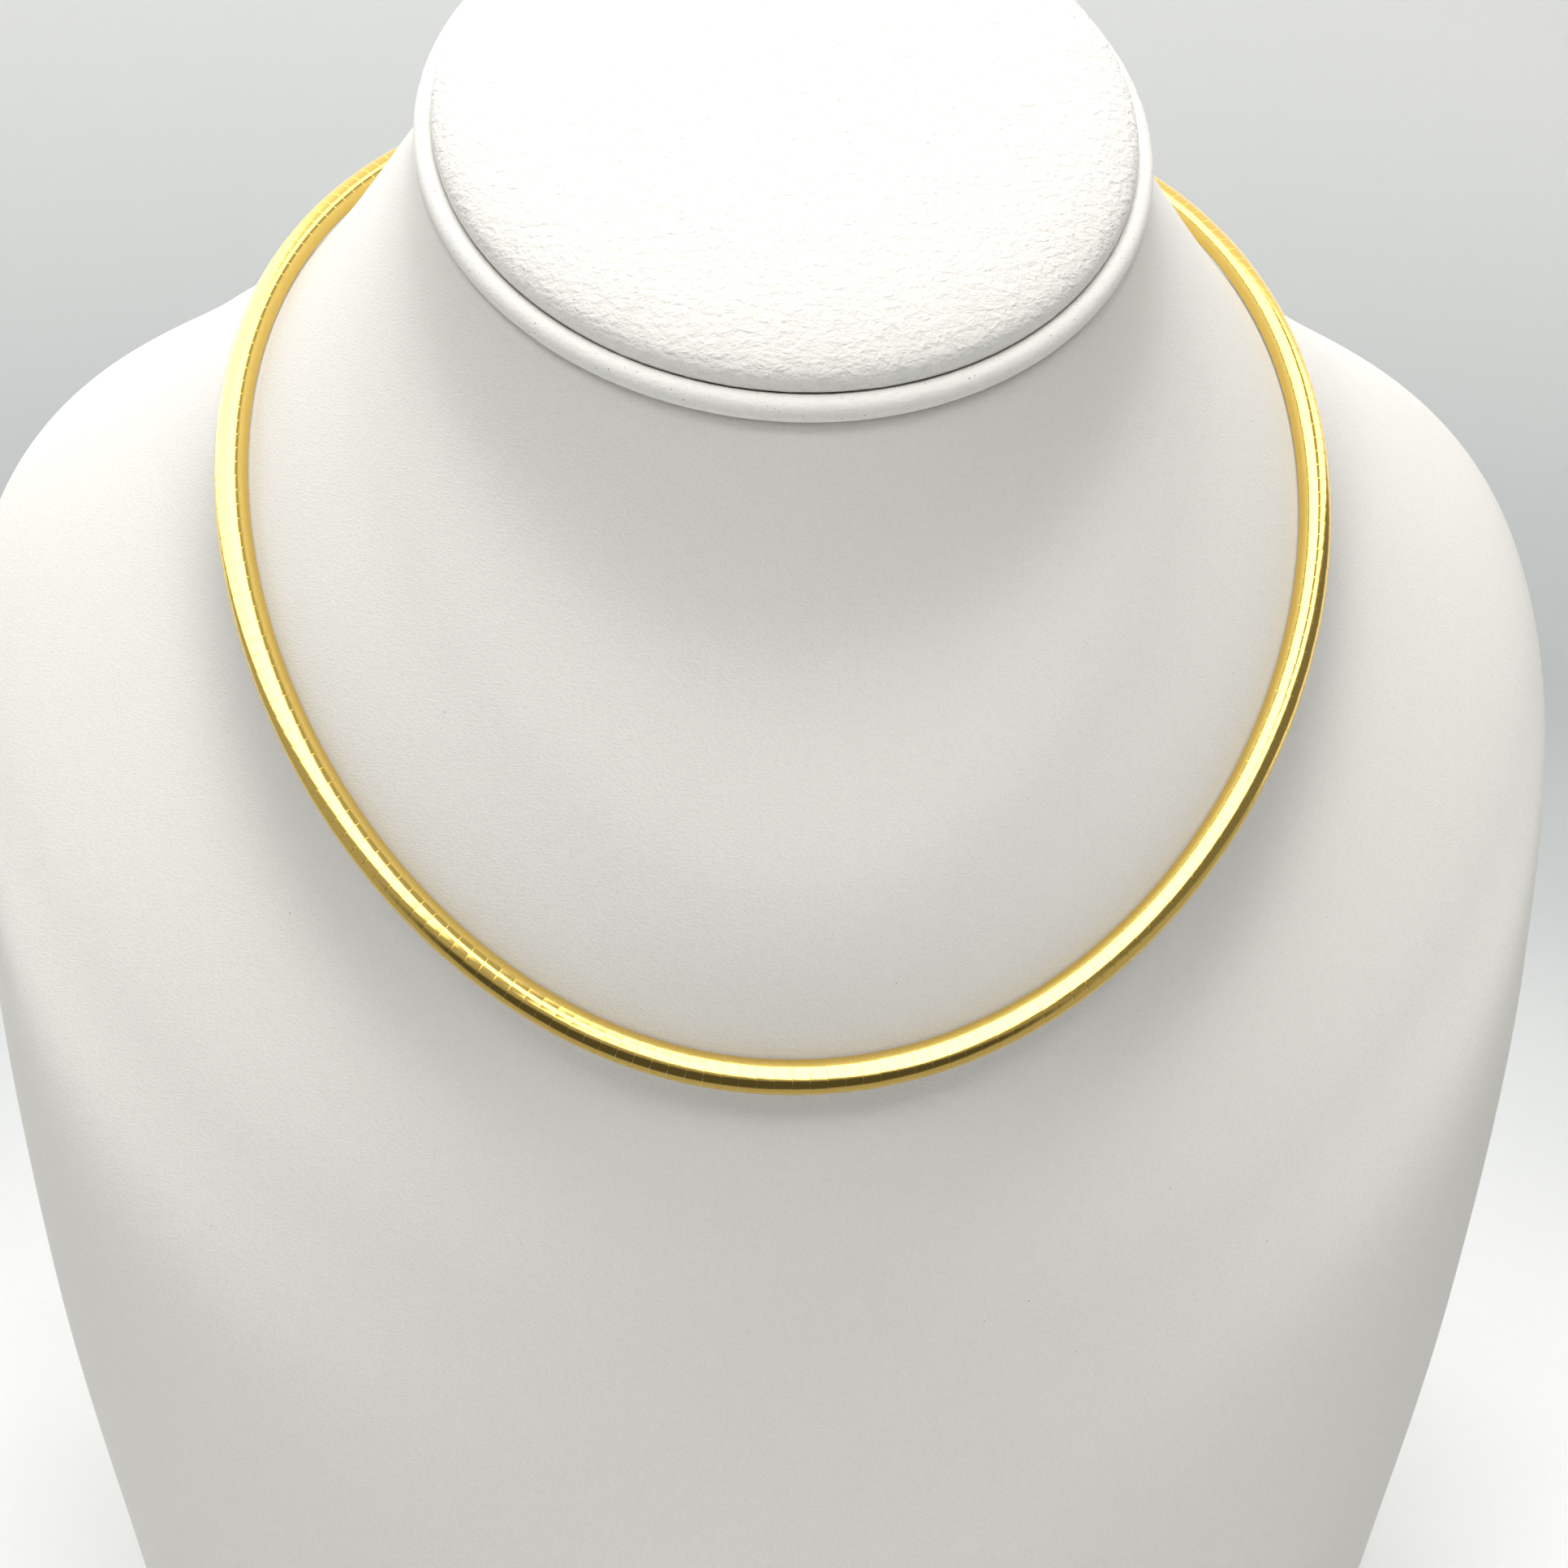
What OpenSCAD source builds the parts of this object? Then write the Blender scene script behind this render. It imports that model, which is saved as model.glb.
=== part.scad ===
// Omega necklace lying on a plain display neck bust.
// X runs to the viewer's right, Y away from the viewer and Z up, in millimetres.
// The origin lies on the table, at the middle of the base board.

/* [Necklace loop] */
// Width of the loop, measured to the middle of the chain.
loop_w = 129.6; // [100:0.2:150]
// Depth of the loop from the throat to the nape, seen from above.
loop_d = 103; // [85:0.5:120]
// Height from the lowest point of the loop to the nape.
loop_rise = 97.6; // [70:0.2:120]
// Height of the widest line of the loop above the table.
loop_z = 180; // [160:1:200]

/* [Plates] */
// Width of the domed plates across the chain.
plate_w = 4; // [3:0.5:6]
// Height of a plate from its lips to its crown.
plate_h = 1.6; // [1.4:0.1:2.4]
// Gauge of the plate metal.
plate_t = 0.3; // [0.2:0.05:0.4]
// Length of one plate along the chain.
plate_len = 1.74; // [1:0.02:4]
// Gap between two plates, at the middle of the chain.
plate_gap = 0.19; // [0.19:0.01:0.6]
// Width of the lip that each long edge folds under the core.
plate_lip = 0.8; // [0.4:0.1:1]

/* [Core and clasp] */
// Width of the woven core.
core_w = 2.2; // [1.2:0.1:2.4]
// Thickness of the woven core.
core_t = 0.45; // [0.3:0.05:0.5]
// Clearance between the core and the metal round it.
core_gap = 0.13; // [0.1:0.01:0.2]
// Length of each end cap.
cap_len = 5; // [3:0.5:10]
// Thickness of the closed end of an end cap.
cap_end = 1.2; // [0.6:0.1:2]
// Length of the clasp.
clasp_len = 9; // [6:0.5:16]
// Gap between the clasp, the end caps and the first plates.
end_gap = 0.2; // [0.1:0.05:0.5]
// Clearance between the chain and the bust under it.
seat_gap = 0.3; // [0.2:0.05:0.5]

/* [Bust] */
// Full width of the bust below the shoulders.
bust_w = 197; // [170:1:240]
// Full depth of the bust from chest to back.
bust_d = 126; // [110:1:160]
// Width of the underside.
base_w = 158; // [120:1:180]
// Depth of the underside.
base_d = 110; // [80:1:130]
// Thickness of the base board.
board_t = 4; // [2:0.5:10]
// Step by which the base board stays inside the edge of the bust.
board_inset = 1.5; // [0:0.5:6]

/* [Neck] */
// Width of the neck at its top.
neck_w = 84.6; // [60:0.2:100]
// Length of the sloping neck top from front to back.
neck_d = 95.2; // [70:0.2:110]
// Slope of the neck top, down towards the throat.
neck_tilt = 32.5; // [10:0.5:45]
// Height of the middle of the neck top above the table.
neck_z = 214.8; // [205:0.1:240]
// Distance of the middle of the neck top behind the widest line of the loop.
neck_y = 1.3; // [0:0.1:12]
// Diameter of the piping.
piping_d = 2.6; // [2:0.1:4]
// Width of the piping that shows beside the pad, seen square to the neck top.
piping_show = 1.9; // [1.5:0.1:4]
// Height of the padded cap at its middle.
pad_h = 9; // [7:0.5:14]
// Gap between the soft pieces and what they lie on.
soft_gap = 0.3; // [0.1:0.05:0.6]

/* [Hidden] */

gold = [0.86, 0.69, 0.36];
white = [0.93, 0.92, 0.90];
columns = 72;
row_steps = 5;

// A ring is a closed curve round the bust. Its numbers are its half width [0], y and z of its
// side point [1, 2], its front point [3, 4] and its back point [5, 6], and its squareness [7].

rim_run = neck_d / 2 * cos(neck_tilt);
rim_rise = neck_d / 2 * sin(neck_tilt);
neck_rim = [
  neck_w / 2,
  neck_y, neck_z,
  neck_y - rim_run, neck_z - rim_rise,
  neck_y + rim_run, neck_z + rim_rise,
  2
];
loop_ring = [
  loop_w / 2,
  0, loop_z,
  -0.465 * loop_d, loop_z - 0.628 * loop_rise,
  0.535 * loop_d, loop_z + 0.372 * loop_rise,
  2.04
];

function unit(v) = v / norm(v);

function mix(a, b, share) = a + (b - a) * share;

// The chain lies in a surface that is straight from side to side. These are its directions
// up the slope and away from the bust, at s from -1 at the throat to 1 at the nape.
function loop_slope(s) = unit([
  0,
  (loop_ring[5] - loop_ring[3]) / 2 + (loop_ring[5] + loop_ring[3] - 2 * loop_ring[1]) * s,
  (loop_ring[6] - loop_ring[4]) / 2 + (loop_ring[6] + loop_ring[4] - 2 * loop_ring[2]) * s
]);
function loop_up(s) = [0, -loop_slope(s)[2], loop_slope(s)[1]];

// The ring of the bust that carries the inner edge of the chain.
function seat_point(s, y, z) =
  [0, y, z] - s * plate_w / 2 * loop_slope(s) - seat_gap * loop_up(s);
seat_side = seat_point(0, loop_ring[1], loop_ring[2]);
seat_front = seat_point(-1, loop_ring[3], loop_ring[4]);
seat_back = seat_point(1, loop_ring[5], loop_ring[6]);
seat_ring = [
  (loop_w - plate_w) / 2,
  seat_side[1], seat_side[2],
  seat_front[1], seat_front[2],
  seat_back[1], seat_back[2],
  loop_ring[7]
];

// Two rings between the neck top and the seat, as shares of the way from one to the other.
// Columns: half width, side y and z, front y and z, back y and z, squareness.
flare_shares = [
  [0.10, 0.10, 0.235, -0.20, 0.36, 0.295, 0.325, 0.3],
  [0.385, 0.40, 0.53, 0.80, 0.74, 0.575, 0.66, 0.6]
];

// The rings below the loop. Columns: half width as a share of half the bust width,
// y of side, front and back as shares of the bust depth,
// z of side, front and back as shares of the loop height, squareness.
bust_shares = [
  [0.765, 0.128, -0.373, 0.524, 0.990, 0.544, 1.033, 2.05],
  [1.000, 0.106, -0.377, 0.555, 0.895, 0.456, 0.965, 2.10],
  [0.984, 0.000, -0.389, 0.564, 0.722, 0.344, 0.689, 2.15],
  [0.943, 0.000, -0.409, 0.539, 0.467, 0.233, 0.478, 2.20],
  [0.873, 0.000, -0.429, 0.492, 0.235, 0.111, 0.211, 2.20]
];

base_ring = [base_w / 2, 0, board_t, -base_d / 2, board_t, base_d / 2, board_t, 2.2];

flare_rings = [
  for (row = flare_shares)
    [for (i = [0:7]) mix(neck_rim[i], seat_ring[i], row[i])]
];
bust_rings = [
  for (row = bust_shares)
    [
      row[0] * bust_w / 2,
      row[1] * bust_d, row[4] * loop_z,
      row[2] * bust_d, row[5] * loop_z,
      row[3] * bust_d, row[6] * loop_z,
      row[7]
    ]
];
rings = concat([neck_rim], flare_rings, [seat_ring], bust_rings, [base_ring]);
last_row = len(rings) - 1;

// Catmull-Rom blend of four values at the share u between the middle two.
function blend(a, b, c, d, u) =
  b + 0.5 * u * (c - a + u * (2 * a - 5 * b + 4 * c - d + u * (3 * (b - c) + d - a)));

// The ring at the row number t, which may lie between two rows.
function ring_at(t) =
  let (
    i = min(floor(t), last_row - 1),
    a = rings[max(i - 1, 0)],
    b = rings[i],
    c = rings[i + 1],
    d = rings[min(i + 2, last_row)]
  )
  [for (j = [0:7]) blend(a[j], b[j], c[j], d[j], t - i)];

function signed_power(value, power) = sign(value) * pow(abs(value), power);

// A parabola through the front, side and back values, at s from -1 to 1.
function through(front, side, back, s) =
  side + (back - front) / 2 * s + ((back + front) / 2 - side) * s * s;

// The point of a ring at an angle that runs from the right side to the nape.
function ring_point(ring, angle) =
  let (
    c = signed_power(cos(angle), 2 / ring[7]),
    s = signed_power(sin(angle), 2 / ring[7])
  )
  [
    ring[0] * c,
    through(ring[3], ring[1], ring[5], s),
    through(ring[4], ring[2], ring[6], s)
  ];

// Faces of a closed skin over stacked rings of n points, with a last point above
// the first ring and a last point below the last ring.
function skin_faces(count, n) =
  let (top = count * n, bottom = top + 1, last = (count - 1) * n)
  concat(
    [for (k = [0:count - 2]) for (j = [0:n - 1])
      [k * n + j, k * n + (j + 1) % n, (k + 1) * n + j]],
    [for (k = [0:count - 2]) for (j = [0:n - 1])
      [k * n + (j + 1) % n, (k + 1) * n + (j + 1) % n, (k + 1) * n + j]],
    [for (j = [0:n - 1]) [top, (j + 1) % n, j]],
    [for (j = [0:n - 1]) [bottom, last + j, last + (j + 1) % n]]
  );

// Faces of a closed tube whose rings of n points meet end to end.
function loop_faces(count, n) =
  [for (k = [0:count - 1]) for (j = [0:n - 1])
    let (next = (k + 1) % count, side = (j + 1) % n)
    each [
      [k * n + j, k * n + side, next * n + side],
      [k * n + j, next * n + side, next * n + j]
    ]];

// Faces of an open tube with a flat face at each end.
function tube_faces(count, n) =
  concat(
    [for (k = [0:count - 2]) for (j = [0:n - 1])
      let (side = (j + 1) % n)
      each [
        [k * n + j, k * n + side, (k + 1) * n + side],
        [k * n + j, (k + 1) * n + side, (k + 1) * n + j]
      ]],
    [[for (j = [n - 1:-1:0]) j]],
    [[for (j = [0:n - 1]) (count - 1) * n + j]]
  );

// The path of the chain: its points by whole degrees and the length run up to each.
path = [for (angle = [90:450]) ring_point(loop_ring, angle)];
step_runs = [for (i = [0:360]) i == 0 ? 0 : norm(path[i] - path[i - 1])];
function run_up_to(steps, i = 0, total = 0) =
  i == len(steps) ? [] : concat([total + steps[i]], run_up_to(steps, i + 1, total + steps[i]));
runs = run_up_to(step_runs);
chain_len = runs[360];
angle_by_run = [for (i = [0:360]) [runs[i], 90 + i]];

// The frame of the chain at a length along it from the nape:
// outward, up from the bust, back along the chain, and the point itself.
function chain_frame(run) =
  let (
    angle = lookup(run, angle_by_run),
    ahead = unit(ring_point(loop_ring, angle + 0.5) - ring_point(loop_ring, angle - 0.5)),
    lean = loop_up(signed_power(sin(angle), 2 / loop_ring[7])),
    up = unit(lean - (lean * ahead) * ahead)
  )
  [cross(ahead, up), up, -ahead, ring_point(loop_ring, angle)];

module at_chain(run) {
  f = chain_frame(run);
  multmatrix([
    [f[0][0], f[1][0], f[2][0], f[3][0]],
    [f[0][1], f[1][1], f[2][1], f[3][1]],
    [f[0][2], f[1][2], f[2][2], f[3][2]],
    [0, 0, 0, 1]
  ])
  children();
}

// The domed outline of the chain, with its flat side down.
dome_r = (pow(plate_w / 2, 2) + pow(plate_h, 2)) / (2 * plate_h);

module dome(inset) {
  intersection() {
    translate([0, plate_h - dome_r])
      circle(r = dome_r - inset, $fn = 64);
    translate([-plate_w, inset])
      square([2 * plate_w, plate_h]);
  }
}

module plate_outline() {
  slot = plate_w - 2 * plate_lip;
  difference() {
    dome(0);
    dome(plate_t);
    translate([-slot / 2, -plate_t])
      square([slot, 3 * plate_t]);
  }
}

end_run = clasp_len / 2 + end_gap + cap_len + end_gap;
plates_run = chain_len - 2 * end_run + plate_gap;
plate_count = floor(plates_run / (plate_len + plate_gap));
plate_pitch = plates_run / plate_count;

module omega_plates() {
  color(gold)
  for (i = [0:plate_count - 1])
    at_chain(end_run - plate_gap / 2 + (i + 0.5) * plate_pitch)
      linear_extrude(plate_len, center = true)
        plate_outline();
}

// The core is a flat eight-sided band that enters both end caps.
core_y = plate_t + core_gap + core_t / 2;
core_entry = (cap_len - cap_end) * 0.7;
core_start = end_run - end_gap - core_entry;
core_rings = 106;
core_outline = [
  for (p = [[1, 0.3], [0.75, 1], [-0.75, 1], [-1, 0.3], [-1, -0.3], [-0.75, -1], [0.75, -1], [1, -0.3]])
    [p[0] * core_w / 2, p[1] * core_t / 2]
];

module mesh_core() {
  points = [
    for (k = [0:core_rings - 1])
      let (f = chain_frame(mix(core_start, chain_len - core_start, k / (core_rings - 1))))
      for (p = core_outline)
        f[3] + p[0] * f[0] + (core_y + p[1]) * f[1]
  ];
  color(gold)
  polyhedron(points, tube_faces(core_rings, len(core_outline)), convexity = 10);
}

// An end cap is a solid dome with a pocket for the end of the core.
module end_cap(pocket_side) {
  pocket_w = core_w + 2 * core_gap;
  pocket_h = core_t + 2 * core_gap;
  difference() {
    linear_extrude(cap_len, center = true)
      dome(0);
    translate([-pocket_w / 2, plate_t, pocket_side > 0 ? cap_end - cap_len / 2 : -cap_len])
      cube([pocket_w, pocket_h, 1.5 * cap_len - cap_end]);
  }
}

cap_middle = clasp_len / 2 + end_gap + cap_len / 2;

module end_cap_left() {
  color(gold)
  at_chain(cap_middle)
    end_cap(-1);
}

module end_cap_right() {
  color(gold)
  at_chain(chain_len - cap_middle)
    end_cap(1);
}

module clasp() {
  color(gold)
  at_chain(0)
    linear_extrude(clasp_len, center = true)
      dome(0);
}

module bust_body() {
  count = last_row * row_steps + 1;
  points = [
    for (k = [0:count - 1])
      let (ring = ring_at(k / row_steps))
      for (j = [0:columns - 1])
        ring_point(ring, 360 * j / columns)
  ];
  color(white)
  polyhedron(
    concat(points, [[0, neck_y, neck_z], [0, 0, board_t]]),
    skin_faces(count, columns),
    convexity = 10
  );
}

// A point over the sloping neck top, from its place on the slope and its height above it.
function over_neck(x, y, height) = [
  x,
  neck_y + y * cos(neck_tilt) - height * sin(neck_tilt),
  neck_z + y * sin(neck_tilt) + height * cos(neck_tilt)
];

module neck_piping() {
  sides = 8;
  r = piping_d / 2;
  points = [
    for (k = [0:columns - 1])
      let (angle = 360 * k / columns, across = unit([cos(angle) * neck_d, sin(angle) * neck_w]))
      for (j = [0:sides - 1])
        let (turn = 360 * (j + 0.5) / sides, out = r * cos(turn) - r)
        over_neck(
          neck_w / 2 * cos(angle) + out * across[0],
          neck_d / 2 * sin(angle) + out * across[1],
          soft_gap + r + r * sin(turn)
        )
  ];
  color(white)
  polyhedron(points, loop_faces(columns, sides), convexity = 10);
}

// The padded cap above the piping. Columns: share of the way out to its widest line,
// share of the height from the top of the piping to the top of the pad.
pad_shares = [
  [0.305, 0.984], [0.552, 0.934], [0.725, 0.852], [0.837, 0.754], [0.906, 0.64],
  [0.95, 0.525], [0.978, 0.41], [0.993, 0.295], [0.999, 0.18], [1, 0.05]
];

// Under its widest line the cap is drawn in round the piping and down beside it.
module neck_pad() {
  pad_columns = 48;
  r = piping_d / 2;
  piping_top = soft_gap + piping_d + soft_gap;
  dome_rows = [
    for (row = pad_shares)
      [
        row[0] * (neck_w / 2 - piping_show),
        row[0] * (neck_d / 2 - piping_show),
        mix(piping_top, soft_gap + pad_h, row[1])
      ]
  ];
  groove_rows = [
    for (turn = [55, 28, 0])
      let (inset = r + (r + soft_gap) * cos(turn))
      [neck_w / 2 - inset, neck_d / 2 - inset, soft_gap + r + (r + soft_gap) * sin(turn)]
  ];
  foot_row = [neck_w / 2 - piping_d - soft_gap, neck_d / 2 - piping_d - soft_gap, soft_gap];
  rows = concat(dome_rows, groove_rows, [foot_row]);
  points = [
    for (row = rows)
      for (j = [0:pad_columns - 1])
        let (angle = 360 * j / pad_columns)
        over_neck(row[0] * cos(angle), row[1] * sin(angle), row[2])
  ];
  color(white)
  polyhedron(
    concat(points, [over_neck(0, 0, soft_gap + pad_h), over_neck(0, 0, soft_gap)]),
    skin_faces(len(rows), pad_columns),
    convexity = 10
  );
}

module base_board() {
  outline = [
    for (j = [0:columns - 1])
      let (p = ring_point(base_ring, 360 * j / columns))
      [p[0] * (1 - 2 * board_inset / base_w), p[1] * (1 - 2 * board_inset / base_d)]
  ];
  color(white)
  linear_extrude(board_t - soft_gap)
    polygon(outline);
}

omega_plates();
mesh_core();
end_cap_left();
end_cap_right();
clasp();
bust_body();
neck_piping();
neck_pad();
base_board();
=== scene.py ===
import math

import bpy
import numpy as np
from mathutils import Matrix, Vector


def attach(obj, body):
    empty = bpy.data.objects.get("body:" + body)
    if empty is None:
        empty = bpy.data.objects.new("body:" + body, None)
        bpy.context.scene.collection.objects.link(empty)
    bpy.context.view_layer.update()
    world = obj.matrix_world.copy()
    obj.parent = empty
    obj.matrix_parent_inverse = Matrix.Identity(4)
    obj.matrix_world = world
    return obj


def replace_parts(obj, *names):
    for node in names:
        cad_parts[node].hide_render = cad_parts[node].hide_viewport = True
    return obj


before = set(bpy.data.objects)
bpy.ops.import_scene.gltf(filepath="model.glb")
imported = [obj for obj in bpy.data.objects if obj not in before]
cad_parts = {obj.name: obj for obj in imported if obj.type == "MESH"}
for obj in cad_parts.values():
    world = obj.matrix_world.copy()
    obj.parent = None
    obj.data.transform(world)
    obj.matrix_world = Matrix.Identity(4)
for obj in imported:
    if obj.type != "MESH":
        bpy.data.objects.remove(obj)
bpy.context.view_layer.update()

# ---- Base board
# The real bust stands on a thin fibreboard, cut to the outline of the bust and set in a
# little from the edge of the covering. Its underside and edge are faced with paper.


def oval(half_w, half_d, squareness, angles):
    """Outline of the bust from above: the cosine and the sine of each angle, raised to
    2 over the squareness with their signs kept, times the half width and the half depth."""
    c, s = np.cos(angles), np.sin(angles)
    return (half_w * np.sign(c) * np.abs(c) ** (2 / squareness),
            half_d * np.sign(s) * np.abs(s) ** (2 / squareness))


def skin_quads(rows, columns):
    """Four-sided faces between rows of points that run round a closed form, from the top
    row to the bottom one: each joins two neighbours of a row to the two below them."""
    k, j = np.meshgrid(np.arange(rows - 1), np.arange(columns), indexing="ij")
    here = k * columns + j
    beside = k * columns + (j + 1) % columns
    return np.stack([here, here + columns, beside + columns, beside], -1).reshape(-1, 4)


def closed_skin(rows_of_points):
    """Points and faces of a closed form: a skin over its rows, with a many-sided face
    over the first row and another under the last."""
    rows, columns = rows_of_points.shape[:2]
    faces = skin_quads(rows, columns).tolist()
    faces.append(list(range(columns)))
    faces.append(list(range(rows * columns - 1, (rows - 1) * columns - 1, -1)))
    return rows_of_points.reshape(-1, 3), faces


def piece_of(name, points, faces, material):
    """A piece at the origin from points in millimetres, smooth, riding on the one body."""
    mesh = bpy.data.meshes.new(name)
    mesh.from_pydata((points * 0.001).tolist(), [], faces)
    mesh.shade_smooth()
    mesh.materials.append(material)
    piece = bpy.data.objects.new(name, mesh)
    bpy.context.scene.collection.objects.link(piece)
    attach(piece, "root")
    return piece


def node(tree, kind, inputs, **settings):
    """A node with these settings, each input set to a value or joined to an output."""
    made = tree.nodes.new(kind)
    for key, value in settings.items():
        setattr(made, key, value)
    for key, value in inputs.items():
        if isinstance(value, bpy.types.NodeSocket):
            tree.links.new(value, made.inputs[key])
        else:
            made.inputs[key].default_value = value
    return made


def finish_of(name):
    """A new material, its node tree, its surface shader and its Object coordinates."""
    material = bpy.data.materials.new(name)
    material.use_nodes = True
    tree = material.node_tree
    return material, tree, tree.nodes["Principled BSDF"], node(tree, "ShaderNodeTexCoord", {}).outputs["Object"]


def colour_between(tree, share, first, second):
    """The first colour where the share is 0 and the second where it is 1."""
    mix = tree.nodes.new("ShaderNodeMix")
    mix.data_type = "RGBA"
    tree.links.new(share, mix.inputs[0])
    for socket, colour in ((mix.inputs[6], first), (mix.inputs[7], second)):
        if isinstance(colour, bpy.types.NodeSocket):
            tree.links.new(colour, socket)
        else:
            socket.default_value = (*colour, 1)
    return mix.outputs[2]


board_paper, tree, shader, place = finish_of("board_paper")
fibres = node(tree, "ShaderNodeTexNoise", {"Vector": place, "Scale": 900, "Detail": 8, "Roughness": 0.7}).outputs[0]
clouds = node(tree, "ShaderNodeTexNoise", {"Vector": place, "Scale": 45, "Detail": 4}).outputs[0]
share = node(tree, "ShaderNodeMath", {0: fibres, 1: clouds}, operation="MULTIPLY").outputs[0]
tree.links.new(colour_between(tree, share, (0.74, 0.72, 0.69), (0.6, 0.58, 0.55)), shader.inputs["Base Color"])
relief = node(tree, "ShaderNodeBump", {"Height": fibres, "Strength": 0.4, "Distance": 0.00006})
tree.links.new(relief.outputs[0], shader.inputs["Normal"])
shader.inputs["Roughness"].default_value = 0.85

angles = np.radians(np.arange(0, 360, 1.25))
board_half_w, board_half_d, board_squareness = 77.5, 53.5, 2.2
edge_steps = [(30, 3.7), (0.6, 3.7), (0.15, 3.6), (0, 3.3), (0, 1.9), (0, 0.5), (0.15, 0.12), (0.6, 0), (30, 0)]
rows = []
for inset, height in edge_steps:
    x, y = oval(board_half_w - inset, board_half_d - inset, board_squareness, angles)
    rows.append(np.stack([x, y, np.full_like(x, height)], -1))
points, faces = closed_skin(np.array(rows))
base_board = piece_of("base_board_papered", points, faces, board_paper)
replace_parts(base_board, "base_board")

# ---- Bust body
# The real body is a light core of foam and board, shaped as a neck and shoulders, with thin
# white leatherette stretched and glued over it and turned in under its bottom edge.

loop_half_w, loop_d, loop_rise, loop_z = 64.8, 103.0, 97.6, 180.0
plate_w, plate_h, seat_gap = 4.0, 1.6, 0.3
neck_half_w, neck_half_d, neck_tilt, neck_y, neck_z = 42.3, 47.6, math.radians(32.5), 1.3, 214.8
bust_half_w, bust_d, base_z = 98.5, 126.0, 4.0
foot_half_w, foot_half_d, foot_squareness = 79, 55, 2.2

# Each ring round the bust is a row: half width, y and z of its side, its front and its back
# point, and its squareness.
rim_run, rim_rise = neck_half_d * math.cos(neck_tilt), neck_half_d * math.sin(neck_tilt)
neck_rim = np.array([neck_half_w, neck_y, neck_z, neck_y - rim_run, neck_z - rim_rise,
                     neck_y + rim_run, neck_z + rim_rise, 2])
loop_ring = np.array([loop_half_w, 0, loop_z, -0.465 * loop_d, loop_z - 0.628 * loop_rise,
                      0.535 * loop_d, loop_z + 0.372 * loop_rise, 2.04])


def loop_slope(s):
    """Unit vector up the surface that the chain lies in, at s from -1 at the throat to 1 at
    the nape: the slope of the parabola through the side, front and back of its ring."""
    side, front, back = loop_ring[1:3], loop_ring[3:5], loop_ring[5:7]
    run = (back - front) / 2 + np.multiply.outer(s, back + front - 2 * side)
    along = np.concatenate([0 * run[..., :1], run], -1)
    return along / np.linalg.norm(along, axis=-1, keepdims=True)


def loop_up(s):
    """Unit vector away from the bust, square to the slope."""
    along = loop_slope(s)
    return np.stack([0 * along[..., 0], -along[..., 2], along[..., 1]], -1)


seat_ring = loop_ring.copy()
seat_ring[0] = loop_half_w - plate_w / 2
for s, column in ((0, 1), (-1, 3), (1, 5)):
    step = s * plate_w / 2 * loop_slope(s) + seat_gap * loop_up(s)
    seat_ring[column:column + 2] -= step[1:]

flare_shares = np.array([[0.10, 0.10, 0.235, -0.20, 0.36, 0.295, 0.325, 0.3],
                         [0.385, 0.40, 0.53, 0.80, 0.74, 0.575, 0.66, 0.6]])
bust_scale = np.array([bust_half_w, bust_d, loop_z, bust_d, loop_z, bust_d, loop_z, 1])
bust_shares = np.array([[0.765, 0.128, 0.990, -0.373, 0.544, 0.524, 1.033, 2.05],
                        [1.000, 0.106, 0.895, -0.377, 0.456, 0.555, 0.965, 2.10],
                        [0.984, 0, 0.722, -0.389, 0.344, 0.564, 0.689, 2.15],
                        [0.943, 0, 0.467, -0.409, 0.233, 0.539, 0.478, 2.20],
                        [0.873, 0, 0.235, -0.429, 0.111, 0.492, 0.211, 2.20]])
base_ring = np.array([foot_half_w, 0, base_z, -foot_half_d, base_z, foot_half_d, base_z, foot_squareness])
rings = np.vstack([neck_rim, neck_rim + (seat_ring - neck_rim) * flare_shares, seat_ring,
                   bust_shares * bust_scale, base_ring])


def rows_at(rows, t):
    """Rows at the row numbers t: the cubic blend of four neighbouring rows that passes
    through the middle two, with half the distance between a row's neighbours as its slope."""
    last = len(rows) - 1
    i = np.minimum(np.floor(t).astype(int), last - 1)
    u = (t - i)[:, None]
    a, b, c, d = (rows[np.clip(i + step, 0, last)] for step in (-1, 0, 1, 2))
    return b + 0.5 * u * (c - a + u * (2 * a - 5 * b + 4 * c - d + u * (3 * (b - c) + d - a)))


def ring_points(ring, angles):
    """Points of rings at angles from the right side to the nape: x is the half width times
    the cosine's power, and y and z follow a parabola of the sine's power through the
    front, side and back values."""
    ring = ring[..., None, :]
    c, s = oval(1, 1, ring[..., 7], angles)
    y, z = (ring[..., m] + (ring[..., m + 4] - ring[..., m + 2]) / 2 * s
            + ((ring[..., m + 4] + ring[..., m + 2]) / 2 - ring[..., m]) * s * s for m in (1, 2))
    return np.stack([ring[..., 0] * c, y, z], -1)


def over_neck(x, y, height):
    """Points over the sloping neck top, from their place on the slope and their height."""
    return np.stack([x + 0 * height, neck_y + y * math.cos(neck_tilt) - height * math.sin(neck_tilt),
                     neck_z + y * math.sin(neck_tilt) + height * math.cos(neck_tilt)], -1)


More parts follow.
